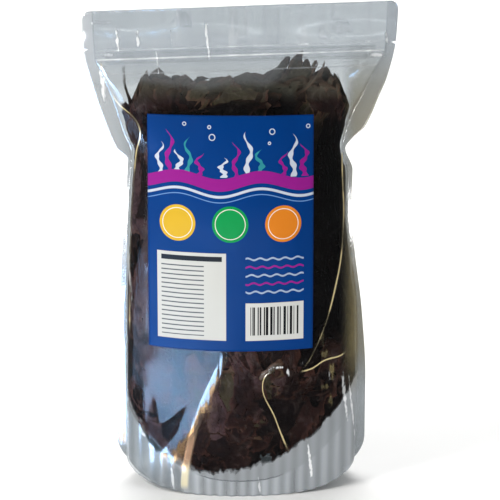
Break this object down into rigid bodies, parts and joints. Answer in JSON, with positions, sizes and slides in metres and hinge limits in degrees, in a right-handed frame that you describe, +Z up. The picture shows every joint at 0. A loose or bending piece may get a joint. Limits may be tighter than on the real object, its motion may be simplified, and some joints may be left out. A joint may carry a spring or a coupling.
{
  "type": "stand-up pouch of dried dulse",
  "caption": "Clear stand-up zip pouch with a bottom gusset and a printed front label, packed with crumpled whole-leaf dried red seaweed.",
  "frame": {"origin": "middle of the pouch's foot, on the surface that it stands on", "axes": "+Z up, from foot to top edge; -Y out of the front panel, which carries the label; +X to the right as the label is seen"},
  "size_m": [0.2286, 0.098, 0.3608],
  "materials": {
    "film": "clear glossy laminated film",
    "zip": "translucent glossy polyethylene",
    "label": "semi-gloss printed film",
    "dulse_dark": "dry, leathery, slightly waxy",
    "dulse_red": "dry, leathery, slightly waxy"
  },
  "bodies": {
    "root": {"film_front": "film", "film_back": "film", "bottom_gusset": "film", "zip_track_front": "zip", "zip_track_back": "zip", "label": "label", "dulse_heart": "dulse_dark", "dulse_blade_1_1": "dulse_dark", "dulse_blade_1_2": "dulse_red", "dulse_blade_1_3": "dulse_dark", "dulse_blade_1_4": "dulse_dark", "dulse_blade_1_5": "dulse_dark", "dulse_blade_1_6": "dulse_red", "dulse_blade_1_7": "dulse_dark", "dulse_blade_1_8": "dulse_dark", "dulse_blade_2_1": "dulse_red", "dulse_blade_2_2": "dulse_dark", "dulse_blade_2_3": "dulse_dark", "dulse_blade_2_4": "dulse_dark", "dulse_blade_2_5": "dulse_red", "dulse_blade_2_6": "dulse_dark", "dulse_blade_2_7": "dulse_dark", "dulse_blade_2_8": "dulse_dark", "dulse_blade_3_1": "dulse_dark", "dulse_blade_3_2": "dulse_dark", "dulse_blade_3_3": "dulse_dark", "dulse_blade_3_4": "dulse_red", "dulse_blade_3_5": "dulse_dark", "dulse_blade_3_6": "dulse_dark", "dulse_blade_3_7": "dulse_dark", "dulse_blade_3_8": "dulse_red"}
  },
  "joints": []
}
